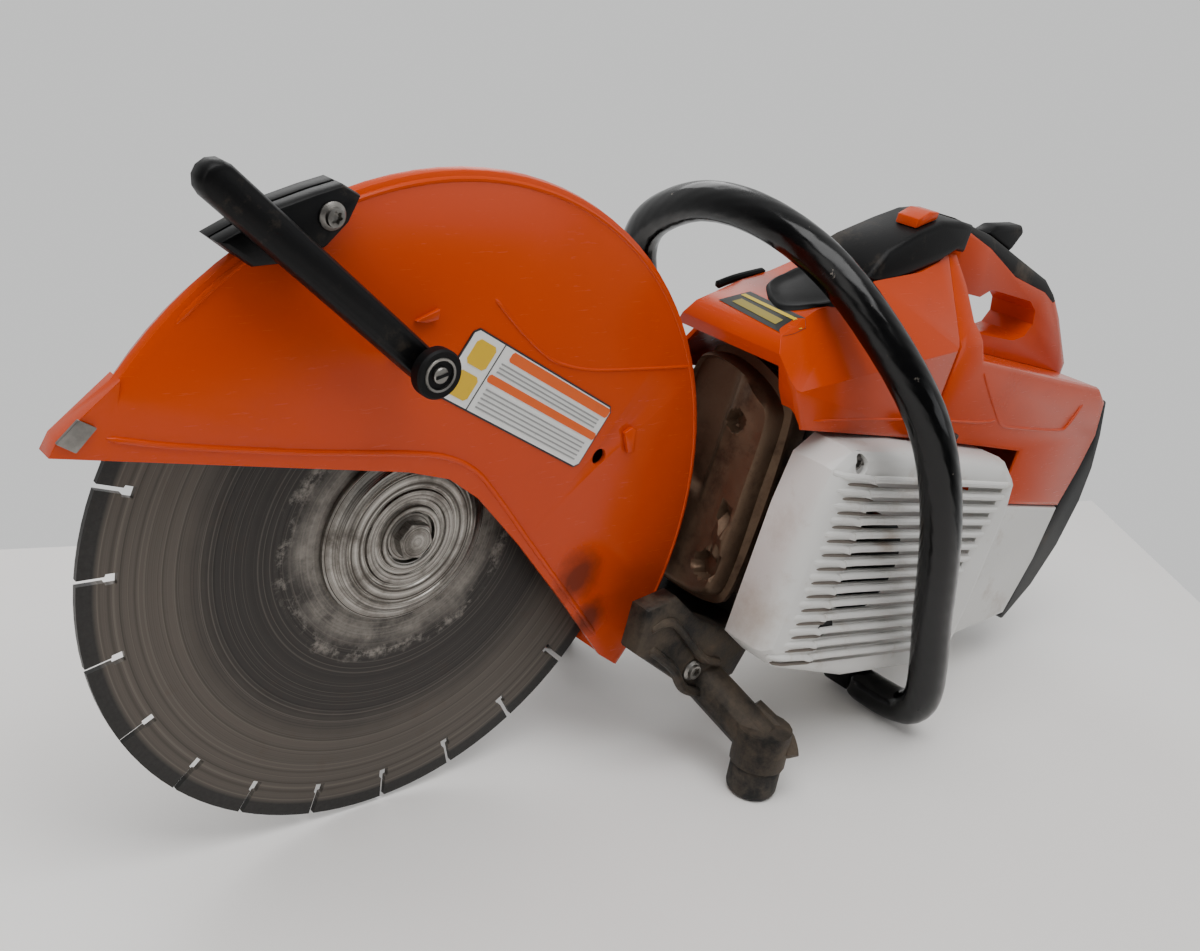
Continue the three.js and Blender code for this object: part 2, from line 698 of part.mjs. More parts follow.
function footBracket() {
  const cradle = slab([[208, -44.3], [300, -44.3], [300, -52], [208, -52]], -60, 60);
  const nearCheek = slab([
    [148, -26], [172, -18], [200, -34], [250, -47], [262, -54], [254, -78], [226, -88], [206, -82], [150, -55],
  ], -60, -44, 3, 2);
  const farCheek = slab([
    [206, -44.3], [250, -44.3], [262, -54], [252, -78], [226, -88], [206, -70],
  ], 44, 62, 3, 2);
  const leg = (side) => join(
    strut([228, side * 46, -78], footPoint(side, FOOT.height + 14), 14, 14),
    strut(footPoint(side, FOOT.height + GAP), footPoint(side, FOOT.height + 26), 18, 18),
  );
  return join(cradle, nearCheek, farCheek, leg(-1), leg(1));
}

const footBuffer = (side) => turnedAlong([
  [0, 0], [14, 0], [16.5, 3], [16.5, FOOT.height], [0, FOOT.height],
], footPoint(side, 0), footPoint(side, 50), 24);

const footBolt = () => join(rod(6.5, -65, -60 - GAP, ...FOOT_BOLT, 20), rod(3.5, -62, -60 - GAP, ...FOOT_BOLT, 10));

// ---------------------------------------------------------------- assembly

const parts = [
  ["cutting_wheel", cuttingWheel(), BLADE_STEEL],
  ["front_flange", frontFlange(), STEEL],
  ["wheel_bolt", wheelBolt(), STEEL],
  ["rear_flange", rearFlange(), STEEL],
  ["spindle", spindle(), STEEL],
  ["driven_pulley", drivenPulley(), ALUMINIUM],
  ["guard_shell", guardShell(), ORANGE],
  ["guard_nose_clip", guardNoseClip(), STEEL],
  ["lever_bracket", leverBracket(), BLACK],
  ["guard_lever", guardLever(), BLACK],
  ["lever_screw", leverScrew(), STEEL],
  ["water_connector", waterConnector(), BLACK],
  ["arm_casting", armCasting(), ALUMINIUM],
  ["spindle_bearing", spindleBearing(), STEEL],
  ["belt_cover", beltCover(), BLACK],
  ["drive_belt", driveBelt(), RUBBER],
  ["clutch_drum", clutchDrum(), STEEL],
  ["clutch_shoes", clutchShoes(), STEEL],
  ["crankcase", crankcase(), ALUMINIUM],
  ["crankshaft", crankshaft(), STEEL],
  ["flywheel", flywheel(), ALUMINIUM],
  ["starter_pulley", starterPulley(), BLACK],
  ["engine_cylinder", cylinder(), ALUMINIUM],
  ["spark_plug", sparkPlug(), STEEL],
  ["spark_plug_boot", sparkPlugBoot(), RUBBER],
  ["muffler", mufflerBox(), HEAT_STAINED],
  ["exhaust_port", exhaustPort(), ALUMINIUM],
  ["muffler_bolt", mufflerBolt(), STEEL],
  ["carburettor", carburettor(), ALUMINIUM],
  ["intake_boot", intakeBoot(), RUBBER],
  ["air_filter", airFilter(), RUBBER],
  ["starter_cover", starterCover(), WHITE],
  ["cover_screw", coverScrew(), STEEL],
  ["spring_housing", springHousing(), BLACK],
  ["starter_grip", starterGrip(), BLACK],
  ["hood", hood(), ORANGE],
  ["filter_cover", filterCover(), BLACK],
  ["stop_switch", stopSwitch(), ORANGE],
  ["rear_housing", rearHousing(), ORANGE],
  ["handle_frame", handleFrame(), ORANGE],
  ["grip_sleeve", gripSleeve(), RUBBER],
  ["throttle_trigger", throttleTrigger(), BLACK],
  ["throttle_lockout", throttleLockout(), BLACK],
  ["tank_housing", tankHousing(), WHITE],
  ["fuel_cap", fuelCap(), BLACK],
  ["rear_skid", rearSkid(), BLACK],
  ["rear_foot", rearFoot(), RUBBER],
  ["handlebar", handlebar(), BLACK],
  ["upper_bar_clamp", upperBarClamp(), BLACK],
  ["lower_bar_clamp", lowerBarClamp(), BLACK],
  ["foot_bracket", footBracket(), BLACK],
  ["foot_buffer_left", footBuffer(-1), RUBBER],
  ["foot_buffer_right", footBuffer(1), RUBBER],
  ["foot_bolt", footBolt(), STEEL],
];

const group = new THREE.Group();
group.name = "cut_off_saw";
for (const [name, manifold, material] of parts) {
  const { vertProperties, triVerts } = manifold.getMesh();
  const geometry = new THREE.BufferGeometry();
  geometry.setAttribute("position", new THREE.BufferAttribute(new Float32Array(vertProperties), 3));
  geometry.setIndex(new THREE.BufferAttribute(new Uint32Array(triVerts), 1));
  geometry.applyMatrix4(new THREE.Matrix4().makeRotationY(PITCH));
  geometry.computeVertexNormals();
  const mesh = new THREE.Mesh(geometry, material);
  mesh.name = name;
  group.add(mesh);
}

// Stand the saw on the floor with its footprint centred.
const bounds = new THREE.Box3().setFromObject(group);
const lift = new THREE.Vector3((bounds.min.x + bounds.max.x) / 2, (bounds.min.y + bounds.max.y) / 2, bounds.min.z);
for (const mesh of group.children) {
  mesh.geometry.translate(-lift.x, -lift.y, -lift.z);
}

export default group;
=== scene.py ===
"""Looks of the hand-held petrol cut-off saw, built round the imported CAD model."""
import math

import bmesh
import bpy
from mathutils import Matrix, Vector
from mathutils.bvhtree import BVHTree


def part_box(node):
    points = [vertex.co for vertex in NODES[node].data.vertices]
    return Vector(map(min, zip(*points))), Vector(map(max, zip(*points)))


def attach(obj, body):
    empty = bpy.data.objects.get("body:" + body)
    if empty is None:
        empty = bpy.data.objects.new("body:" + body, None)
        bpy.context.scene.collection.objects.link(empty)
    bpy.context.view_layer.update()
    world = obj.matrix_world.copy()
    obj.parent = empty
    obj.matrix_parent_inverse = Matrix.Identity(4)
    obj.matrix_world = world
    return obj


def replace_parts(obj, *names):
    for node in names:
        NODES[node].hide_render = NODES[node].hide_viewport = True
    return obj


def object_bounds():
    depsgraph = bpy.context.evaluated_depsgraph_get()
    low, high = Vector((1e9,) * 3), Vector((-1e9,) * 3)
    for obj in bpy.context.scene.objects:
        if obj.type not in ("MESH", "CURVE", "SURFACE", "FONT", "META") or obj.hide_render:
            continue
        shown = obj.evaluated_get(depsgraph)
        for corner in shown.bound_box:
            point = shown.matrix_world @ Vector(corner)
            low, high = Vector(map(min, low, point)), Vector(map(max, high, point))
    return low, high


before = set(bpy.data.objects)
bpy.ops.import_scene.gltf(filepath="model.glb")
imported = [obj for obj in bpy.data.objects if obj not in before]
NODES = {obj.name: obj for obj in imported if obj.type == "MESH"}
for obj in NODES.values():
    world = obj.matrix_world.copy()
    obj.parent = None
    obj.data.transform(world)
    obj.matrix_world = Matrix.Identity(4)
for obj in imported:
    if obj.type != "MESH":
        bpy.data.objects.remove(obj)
cad_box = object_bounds()

# ------------------------------------------------------------------ the saw's own frame

MM = 0.001
PITCH = math.radians(10)               # the saw is tilted tail-down by this much
HUB = sum((Vector(corner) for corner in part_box("cutting_wheel")), Vector()) / 2
TILT = Matrix.Rotation(PITCH, 4, "Y")
SAW = Matrix.Translation(HUB) @ TILT   # saw frame, hub at its origin, to the row frame


def at(x, y, z):
    """A point of the saw's own frame, in millimetres from the wheel's hub."""
    return SAW @ Vector((x * MM, y * MM, z * MM))


# ------------------------------------------------------------------ camera, floor and lights

def add_camera():
    data = bpy.data.cameras.new("camera")
    data.sensor_width = 36
    data.lens = 39
    data.clip_start = 0.01
    camera = bpy.data.objects.new("camera", data)
    bpy.context.scene.collection.objects.link(camera)
    azimuth, elevation, roll = math.radians(-44.8), math.radians(21.8), math.radians(10.2)
    turn = Matrix.Rotation(azimuth, 4, "Z") @ Matrix.Rotation(math.pi / 2 - elevation, 4, "X")
    camera.matrix_world = Matrix.Translation(at(-422, -519, 235)) @ turn @ Matrix.Rotation(roll, 4, "Z")
    bpy.context.scene.camera = camera


def add_area_light(name, place, aim, size, power, color=(1, 1, 1)):
    data = bpy.data.lights.new(name, "AREA")
    data.shape = "RECTANGLE"
    data.size, data.size_y = size
    data.energy = power
    data.color = color
    light = bpy.data.objects.new(name, data)
    bpy.context.scene.collection.objects.link(light)
    light.location = place
    light.rotation_euler = (Vector(aim) - Vector(place)).to_track_quat("-Z", "Y").to_euler()


def add_lights():
    middle = (0, 0, 0.15)
    add_area_light("overhead", (-0.4, -0.5, 1.9), middle, (1.8, 1.2), 32)
    add_area_light("left_softbox", (-1.9, -0.6, 1.1), middle, (1.2, 1.2), 7, (1, 0.98, 0.95))
    add_area_light("right_fill", (1.0, -1.9, 0.8), middle, (1.2, 0.8), 4.5, (0.95, 0.97, 1))
    add_area_light("back_rim", (0.6, 1.6, 1.3), middle, (1.4, 0.8), 9)
    bpy.context.scene.world = room_world()


TOWARDS_WALLS = (0.7, 0.7, 0.14)
WALL_LIGHT = 0.86
ROOM_LIGHT = 0.1


def room_world():
    """Two white walls ahead, and a darker room on the other side."""
    world = bpy.data.worlds.new("room")
    world.use_nodes = True
    nodes, links = world.node_tree.nodes, world.node_tree.links
    direction = nodes.new("ShaderNodeTexCoord").outputs["Generated"]
    toward = nodes.new("ShaderNodeVectorMath")
    toward.operation = "DOT_PRODUCT"
    links.new(direction, toward.inputs[0])
    toward.inputs[1].default_value = TOWARDS_WALLS
    share = nodes.new("ShaderNodeMapRange")
    links.new(toward.outputs["Value"], share.inputs["Value"])
    share.inputs["From Min"].default_value = -0.35
    share.inputs["From Max"].default_value = 0.45
    share.inputs["To Min"].default_value = ROOM_LIGHT
    share.inputs["To Max"].default_value = WALL_LIGHT
    nodes["Background"].inputs["Color"].default_value = (0.95, 0.955, 0.95, 1)
    links.new(share.outputs["Result"], nodes["Background"].inputs["Strength"])
    return world


# ------------------------------------------------------------------ materials

class Shader:
    """A small helper that wires the nodes of one material."""

    def __init__(self, name, roughness=0.5, metallic=0.0):
        self.material = bpy.data.materials.new(name)
        self.material.use_nodes = True
        self.tree = self.material.node_tree
        self.bsdf = self.tree.nodes["Principled BSDF"]
        self.bsdf.inputs["Roughness"].default_value = roughness
        self.bsdf.inputs["Metallic"].default_value = metallic
        self.place = self.tree.nodes.new("ShaderNodeTexCoord").outputs["Object"]

    def link(self, output, socket):
        self.tree.links.new(output, socket)

    def set(self, socket, value):
        """A number or colour is set on the socket, and anything else is linked to it."""
        if isinstance(value, bpy.types.NodeSocket):
            self.link(value, socket)
        else:
            socket.default_value = value

    def noise(self, scale, detail=4, roughness=0.55, stretch=None, distortion=0.0):
        node = self.tree.nodes.new("ShaderNodeTexNoise")
        node.inputs["Scale"].default_value = scale
        node.inputs["Detail"].default_value = detail
        node.inputs["Roughness"].default_value = roughness
        node.inputs["Distortion"].default_value = distortion
        source = self.place
        if stretch:
            mapping = self.tree.nodes.new("ShaderNodeMapping")
            mapping.inputs["Scale"].default_value = stretch
            self.link(self.place, mapping.inputs["Vector"])
            source = mapping.outputs["Vector"]
        self.link(source, node.inputs["Vector"])
        return node.outputs["Fac"]

    def ramp(self, value, low, high, bottom=0.0, top=1.0):
        """value between low and high becomes bottom to top, and stays there beyond them."""
        node = self.tree.nodes.new("ShaderNodeMapRange")
        self.set(node.inputs["Value"], value)
        node.inputs["From Min"].default_value = low
        node.inputs["From Max"].default_value = high
        node.inputs["To Min"].default_value = bottom
        node.inputs["To Max"].default_value = top
        return node.outputs["Result"]

    def math(self, operation, a, b=0.0):
        node = self.tree.nodes.new("ShaderNodeMath")
        node.operation = operation
        self.set(node.inputs[0], a)
        self.set(node.inputs[1], b)
        return node.outputs["Value"]

    def mix(self, fac, a, b):
        node = self.tree.nodes.new("ShaderNodeMix")
        node.data_type = "RGBA"
        self.set(node.inputs["Factor"], fac)
        self.set(node.inputs["A"], a)
        self.set(node.inputs["B"], b)
        return node.outputs["Result"]

    def color(self, value):
        self.set(self.bsdf.inputs["Base Color"], value)

    def rough(self, value):
        self.set(self.bsdf.inputs["Roughness"], value)

    def bump(self, height, strength, distance=0.001):
        node = self.tree.nodes.new("ShaderNodeBump")
        node.inputs["Strength"].default_value = strength
        node.inputs["Distance"].default_value = distance
        self.link(height, node.inputs["Height"])
        previous = self.bsdf.inputs["Normal"].links
        if previous:
            self.link(previous[0].from_socket, node.inputs["Normal"])
        self.link(node.outputs["Normal"], self.bsdf.inputs["Normal"])


def rgb(red, green, blue):
    """A linear colour from an sRGB one given as 0 to 255."""
    def linear(value):
        value /= 255
        return value / 12.92 if value <= 0.04045 else ((value + 0.055) / 1.055) ** 2.4
    return (linear(red), linear(green), linear(blue), 1)


DUST = rgb(150, 132, 112)


def smudge(s, centre, radius):
    """A ragged dirty patch round a point of the saw's frame, 0 to 1."""
    node = s.tree.nodes.new("ShaderNodeVectorMath")
    node.operation = "DISTANCE"
    s.link(s.place, node.inputs[0])
    node.inputs[1].default_value = at(*centre)
    ragged = s.math("ADD", node.outputs["Value"], s.math("MULTIPLY", s.noise(70, 9, 0.75), radius * MM))
    return s.ramp(ragged, 0.75 * radius * MM, 1.35 * radius * MM, 1, 0)


def orange_plastic(name="orange_plastic", dirt=0.12, smudges=()):
    s = Shader(name, 0.3)
    tone = s.mix(s.noise(9), rgb(190, 58, 0), rgb(200, 64, 0))
    grime = s.math("MULTIPLY", s.ramp(s.noise(14, 8, 0.7), 0.54, 0.74), dirt)
    for centre, radius in smudges:
        grime = s.math("MAXIMUM", grime, s.math("MULTIPLY", smudge(s, centre, radius), 0.75))
    s.color(s.mix(grime, tone, rgb(62, 24, 12)))
    s.bsdf.inputs["Specular IOR Level"].default_value = 0.25
    scratches = s.ramp(s.noise(60, 6, 0.75, (1, 1, 9)), 0.6, 0.78)
    s.rough(s.ramp(s.math("ADD", grime, s.math("MULTIPLY", scratches, 0.4)), 0, 1, 0.24, 0.7))
    s.bump(s.noise(420, 2), 0.04, 0.0004)
    s.bump(s.noise(16, 3), 0.1, 0.0008)
    return s.material


def flat_print(name, color, roughness=0.45):
    """A printed panel or label of one colour, slightly scuffed."""
    s = Shader(name, roughness)
    worn = s.ramp(s.noise(120, 8, 0.75), 0.6, 0.75, 0, 0.35)
    s.color(s.mix(worn, rgb(*color), rgb(*(0.75 * c for c in color))))
    s.bump(s.noise(600, 2), 0.03, 0.0003)
    return s.material


def white_plastic():
    s = Shader("white_plastic", 0.5)
    tone = s.mix(s.noise(12), rgb(208, 207, 204), rgb(222, 221, 218))
    dust = s.ramp(s.noise(22, 9, 0.72), 0.55, 0.78, 0, 0.55)
    for centre, radius in (((196, -80, 40), 30), ((205, -84, -20), 34), ((300, -104, 40), 16)):
        dust = s.math("MAXIMUM", dust, s.math("MULTIPLY", smudge(s, centre, radius), 0.5))
    s.color(s.mix(dust, tone, rgb(150, 122, 92)))
    s.rough(s.ramp(dust, 0, 1, 0.42, 0.8))
    s.bump(s.noise(500, 2), 0.06, 0.0004)
    return s.material


def black_plastic(name="black_plastic", dust=0.22, roughness=0.42):
    s = Shader(name, roughness)
    tone = s.mix(s.noise(15), rgb(4, 4, 5), rgb(11, 11, 12))
    s.bsdf.inputs["Specular IOR Level"].default_value = 0.18
    grime = s.ramp(s.noise(26, 9, 0.72), 0.55, 0.8, 0, dust)
    s.color(s.mix(grime, tone, DUST))
    s.rough(s.ramp(grime, 0, 1, roughness, 0.9))
    s.bump(s.noise(650, 2), 0.15, 0.0004)
    return s.material


def black_paint():
    s = Shader("black_paint", 0.22)
    tone = s.mix(s.noise(9), rgb(2, 2, 3), rgb(6, 6, 7))
    s.bsdf.inputs["Specular IOR Level"].default_value = 0.35
    chips = s.ramp(s.noise(75, 10, 0.75), 0.66, 0.68)
    s.color(s.mix(chips, tone, rgb(128, 122, 114)))
    s.rough(s.ramp(s.noise(30, 8, 0.7), 0.35, 0.75, 0.12, 0.32))
    s.bump(s.noise(260, 3), 0.06, 0.0004)
    return s.material


def rubber():
    s = Shader("rubber", 0.8)
    tone = s.mix(s.noise(20), rgb(10, 10, 10), rgb(24, 23, 22))
    s.color(s.mix(s.ramp(s.noise(34, 8, 0.7), 0.5, 0.8, 0, 0.35), tone, DUST))
    s.bump(s.noise(520, 3), 0.3, 0.0005)
    return s.material


def darker(color, share):
    """A share of a linear colour, still opaque."""
    return tuple(value * share for value in color[:3]) + (1,)


def worn_steel():
    s = Shader("worn_steel", 0.34, 1.0)
    base = rgb(150, 147, 142)
    s.color(s.mix(s.ramp(s.noise(40, 8, 0.7), 0.4, 0.7), base, darker(base, 0.45)))
    s.rough(s.ramp(s.noise(90, 6, 0.7), 0.3, 0.7, 0.24, 0.59))
    s.bump(s.noise(300, 4), 0.15, 0.0004)
    return s.material


def cast_metal(name="cast_metal", tone=(128, 124, 118), dust=0.4):
    s = Shader(name, 0.6, 0.7)
    base = s.mix(s.noise(18), rgb(*tone), darker(rgb(*tone), 0.6))
    grime = s.ramp(s.noise(24, 9, 0.72), 0.42, 0.7, 0, dust)
    s.color(s.mix(grime, base, rgb(92, 78, 62)))
    s.set(s.bsdf.inputs["Metallic"], s.ramp(grime, 0, 1, 0.8, 0.0))
    s.rough(s.ramp(grime, 0, 1, 0.45, 0.9))
    s.bump(s.noise(300, 5, 0.7), 0.5, 0.0008)
    return s.material


def radius_from_hub(s):
    """Distance from the spindle's line, in metres, as a socket."""
    shift = s.tree.nodes.new("ShaderNodeVectorMath")
    shift.operation = "SUBTRACT"
    s.link(s.place, shift.inputs[0])
    shift.inputs[1].default_value = HUB
    flat = s.tree.nodes.new("ShaderNodeVectorMath")
    flat.operation = "MULTIPLY"
    s.link(shift.outputs["Vector"], flat.inputs[0])
    flat.inputs[1].default_value = (1, 0, 1)
    length = s.tree.nodes.new("ShaderNodeVectorMath")
    length.operation = "LENGTH"
    s.link(flat.outputs["Vector"], length.inputs[0])
    return length.outputs["Value"]


def rings(s, radius, spacing, detail=6):
    """Fine concentric turning or wear marks, as noise along the radius."""
    node = s.tree.nodes.new("ShaderNodeTexNoise")
    node.noise_dimensions = "1D"
    node.inputs["Scale"].default_value = 1 / spacing
    node.inputs["Detail"].default_value = detail
    node.inputs["Roughness"].default_value = 0.7
    s.link(radius, node.inputs["W"])
    return node.outputs["Fac"]


def blade_steel():
    """Dull steel, dark under the flange's ragged stain and scoured paler towards the rim."""
    s = Shader("blade_steel", 0.5, 0.35)
    radius = radius_from_hub(s)
    uneven = s.math("MULTIPLY", s.math("SUBTRACT", s.noise(14, 8, 0.7), 0.5), 0.035)
    ragged = s.math("ADD", radius, uneven)
    marks = rings(s, radius, 0.003)
    scoured = s.ramp(s.math("ADD", radius, s.math("MULTIPLY", uneven, 0.5)), 0.108, 0.13)
    tone = s.mix(scoured, rgb(44, 40, 37), rgb(84, 77, 70))
    tone = s.mix(s.ramp(marks, 0.5, 0.68, 0, 0.5), tone, rgb(30, 27, 25))
    tone = s.mix(s.ramp(rings(s, radius, 0.0016, 3), 0.55, 0.7, 0, 0.3), tone, rgb(132, 124, 115))
    stain = s.ramp(ragged, 0.060, 0.070, 1, 0)
    patchy = s.ramp(s.math("ADD", s.noise(38, 9, 0.75), s.math("MULTIPLY", marks, 0.3)), 0.5, 0.78, 0.1, 0.9)
    tone = s.mix(s.math("MULTIPLY", stain, patchy), tone, rgb(140, 134, 126))
    edge = s.math("MULTIPLY", s.ramp(ragged, 0.066, 0.074), s.ramp(ragged, 0.078, 0.072))
    tone = s.mix(s.math("MULTIPLY", edge, s.ramp(s.noise(60, 9, 0.8), 0.5, 0.62)), tone, rgb(150, 144, 136))
    rust = s.ramp(s.noise(30, 10, 0.75), 0.58, 0.78, 0, 0.3)
    tone = s.mix(rust, tone, rgb(84, 62, 46))
    rim = s.ramp(radius, 0.1655, 0.168)
    s.color(s.mix(rim, tone, s.mix(s.noise(420, 5, 0.7), rgb(14, 13, 12), rgb(52, 50, 48))))
    s.rough(s.ramp(s.math("ADD", marks, rust), 0.3, 1.1, 0.4, 0.75))
    s.bump(marks, 0.35, 0.0003)
    s.bump(s.noise(380, 5, 0.7), 0.2, 0.0003)
    return s.material


def turned_steel():
    s = Shader("turned_steel", 0.3, 1.0)
    radius = radius_from_hub(s)
    marks = rings(s, radius, 0.0022)
    tone = s.mix(s.ramp(marks, 0.35, 0.62), rgb(62, 58, 54), rgb(184, 180, 173))
    grime = s.ramp(s.noise(40, 9, 0.75), 0.45, 0.68, 0, 0.75)
    s.color(s.mix(grime, tone, rgb(80, 73, 66)))
    s.rough(s.ramp(s.math("ADD", marks, grime), 0.3, 1.3, 0.2, 0.65))
    s.bump(marks, 0.5, 0.0004)
    return s.material


def heat_stained_steel():
    s = Shader("heat_stained_steel", 0.55, 0.75)
    tone = s.mix(s.noise(9, 5), rgb(80, 62, 48), rgb(126, 104, 84))
    tone = s.mix(s.ramp(s.noise(26, 9, 0.7), 0.5, 0.7), tone, rgb(58, 38, 28))
    tone = s.mix(s.ramp(s.noise(60, 9, 0.75), 0.6, 0.75, 0, 0.6), tone, rgb(120, 104, 84))
    s.color(tone)
    s.rough(s.ramp(s.noise(36, 8, 0.7), 0.3, 0.7, 0.38, 0.75))
    s.bump(s.noise(180, 6, 0.7), 0.3, 0.0006)
    return s.material


def floor_paint():
    s = Shader("floor_paint", 0.6)
    s.color(s.mix(s.noise(6), rgb(243, 240, 237), rgb(248, 246, 244)))
    s.bump(s.noise(90, 3), 0.05, 0.001)
    return s.material


# ------------------------------------------------------------------ mesh helpers

def angle_shading():
    """Geometry nodes that shade smoothly, apart from creases sharper than 35 degrees."""
    group = bpy.data.node_groups.new("angle_shading", "GeometryNodeTree")
    group.interface.new_socket("Geometry", in_out="INPUT", socket_type="NodeSocketGeometry")
    group.interface.new_socket("Geometry", in_out="OUTPUT", socket_type="NodeSocketGeometry")
    entry = group.nodes.new("NodeGroupInput")
    leave = group.nodes.new("NodeGroupOutput")
    faces = group.nodes.new("GeometryNodeSetShadeSmooth")
    edges = group.nodes.new("GeometryNodeSetShadeSmooth")
    edges.domain = "EDGE"
    angle = group.nodes.new("GeometryNodeInputMeshEdgeAngle")
    soft = group.nodes.new("FunctionNodeCompare")
    soft.operation = "LESS_THAN"
    soft.inputs["B"].default_value = math.radians(35)
    group.links.new(angle.outputs["Unsigned Angle"], soft.inputs["A"])
    group.links.new(entry.outputs[0], faces.inputs["Geometry"])
    group.links.new(faces.outputs["Geometry"], edges.inputs["Geometry"])
    group.links.new(soft.outputs["Result"], edges.inputs["Shade Smooth"])
    group.links.new(edges.outputs["Geometry"], leave.inputs[0])
    return group


ANGLE_SHADING = angle_shading()


def shade(obj, edge=0.0):
    """Welds the mesh, rounds its sharp edges by a width in millimetres and shades it smoothly."""
    if "custom_normal" in obj.data.attributes:
        obj.data.attributes.remove(obj.data.attributes["custom_normal"])
    weld = obj.modifiers.new("weld", "WELD")
    weld.merge_threshold = 0.00002
    if edge:
        bevel = obj.modifiers.new("edge", "BEVEL")
        bevel.width = edge * MM
        bevel.segments = 2
        bevel.limit_method = "ANGLE"
        bevel.angle_limit = math.radians(34)
    smooth = obj.modifiers.new("smooth", "NODES")
    smooth.node_group = ANGLE_SHADING


def round_tube(obj):
    """Rounds a faceted tube, before its shading is worked out."""
    surface = obj.modifiers.new("round", "SUBSURF")
    surface.levels = 2
    surface.render_levels = 2
    obj.modifiers.move(len(obj.modifiers) - 1, 1)


def paint(obj, material):
    obj.data.materials.clear()
    obj.data.materials.append(material)


def add_object(name, mesh, material):
    obj = bpy.data.objects.new(name, mesh)
    bpy.context.scene.collection.objects.link(obj)
    paint(obj, material)
    return obj


ROOM_CORNER = (0.79, 0.086)            # where the two walls meet, in the row frame's metres
BACK_WALL = Vector((-3.24, 0.906, 0))
SIDE_WALL = Vector((-2.2185, -3.0305, 0))
OPEN_CORNER = (-3.2, -3)


def add_floor():
    """A floor sheet that stops where it meets the two walls of the room."""
    low = cad_box[0][2]
    corner = Vector((*ROOM_CORNER, low))
    edge = [corner, corner + BACK_WALL, Vector((*OPEN_CORNER, low)), corner + SIDE_WALL]
    mesh = bpy.data.meshes.new("floor")
    mesh.from_pydata(edge, [], [range(len(edge))])
    floor = add_object("floor", mesh, floor_paint())


# ------------------------------------------------------------------ added pieces

def piece(name, body, material, points, faces, edge=0.0):
    """A mesh from points in the saw's frame, in millimetres, that rides on a body."""
    mesh = bpy.data.meshes.new(name)
    mesh.from_pydata([at(*p) for p in points], [], faces)
    normals = bmesh.new()
    normals.from_mesh(mesh)
    bmesh.ops.recalc_face_normals(normals, faces=normals.faces)
    normals.to_mesh(mesh)
    normals.free()
    obj = add_object(name, mesh, material)
    shade(obj, edge)
    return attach(obj, body)


def bands(rows):
    """The four-sided faces between rows of points, where each row closes on itself."""
    count = len(rows[0])
    faces = []
    for first in range(0, count * (len(rows) - 1), count):
        for i in range(count):
            j = (i + 1) % count
            faces.append((first + i, first + j, first + count + j, first + count + i))
    return faces


def loft(name, body, material, rows, edge=0.0):
    """A skin through closed rows of points, capped at both ends."""
    count = len(rows[0])
    points = [point for row in rows for point in row]
    caps = [tuple(range(count)), tuple(range(len(points) - count, len(points)))]
    return piece(name, body, material, points, bands(rows) + caps, edge)


def prism(name, body, material, outline, y0, y1, edge=0.0):
    """A side-view outline of (x, z) points, from y0 to y1."""
    rows = [[(x, y, z) for x, z in outline] for y in (y0, y1)]
    return loft(name, body, material, rows, edge)


def lathe(name, body, material, profile, x, z, segments, lobes=0, depth=0.0):
    """A piece turned about a line along Y through (x, z).

    The profile is (radius, y) points. A third item, "wavy", puts lobes of the given depth round one.
    """
    rows = []
    for radius, y, *wavy in profile:
        row = []
        for i in range(segments):
            angle = 2 * math.pi * i / segments
            swing = radius * (1 + (depth * math.cos(lobes * angle) if wavy else 0))
            row.append((x + swing * math.cos(angle), y, z + swing * math.sin(angle)))
        rows.append(row)
    return loft(name, body, material, rows)


BEAD_SIDES = 10
BEAD_END = 0.25                        # a bead's size at its ends, as a share of its radius
ALONG_Y = Vector((0, 1, 0))
UPRIGHT = Vector((0, 0, 1))


def bead(name, body, material, path, radius):
    """A round raised line along a path, tapered away at both ends."""
    last = len(path) - 1
    turns = [2 * math.pi * k / BEAD_SIDES for k in range(BEAD_SIDES)]
    rows = []
    for i, point in enumerate(path):
        ahead = (Vector(path[min(i + 1, last)]) - Vector(path[max(i - 1, 0)])).normalized()
        side = ahead.cross(ALONG_Y if abs(ahead.y) < 0.9 else UPRIGHT).normalized()
        other = ahead.cross(side)
        size = radius * (BEAD_END if i in (0, last) else 1)
        rows.append([Vector(point) + size * (side * math.cos(a) + other * math.sin(a)) for a in turns])
    return loft(name, body, material, rows)


def curve_through(points, steps=6):
    """More points along a smooth curve through these ones."""
    last = len(points) - 1
    out = []
    for i in range(last):
        a, b, c, d = (Vector(points[min(max(k, 0), last)]) for k in (i - 1, i, i + 1, i + 2))
        for k in range(steps):
            t = k / steps
            bend = (2 * a - 5 * b + 4 * c - d) * t * t + (3 * b - a - 3 * c + d) * t ** 3
            out.append(0.5 * (2 * b + (c - a) * t + bend))
    return out + [Vector(points[last])]


def dense(outline, steps=8):
    """The same outline with more points along its sides."""
    return [(a[0] + (b[0] - a[0]) * k / steps, a[1] + (b[1] - a[1]) * k / steps)
            for a, b in zip(outline, outline[1:] + outline[:1]) for k in range(steps)]


def surface_of(node):
    mesh = NODES[node].data
    return BVHTree.FromPolygons([v.co for v in mesh.vertices], [tuple(p.vertices) for p in mesh.polygons])


ABOVE_ALL = 320                        # a height over the hub that clears the whole saw
FLAT_SKIN = ((0.0, 0), (0.35, 0), (0.7, 0), (1.0, 0))
CENTRE_SHARE = 0.01                    # keeps the middle ring of a skin from closing to a point


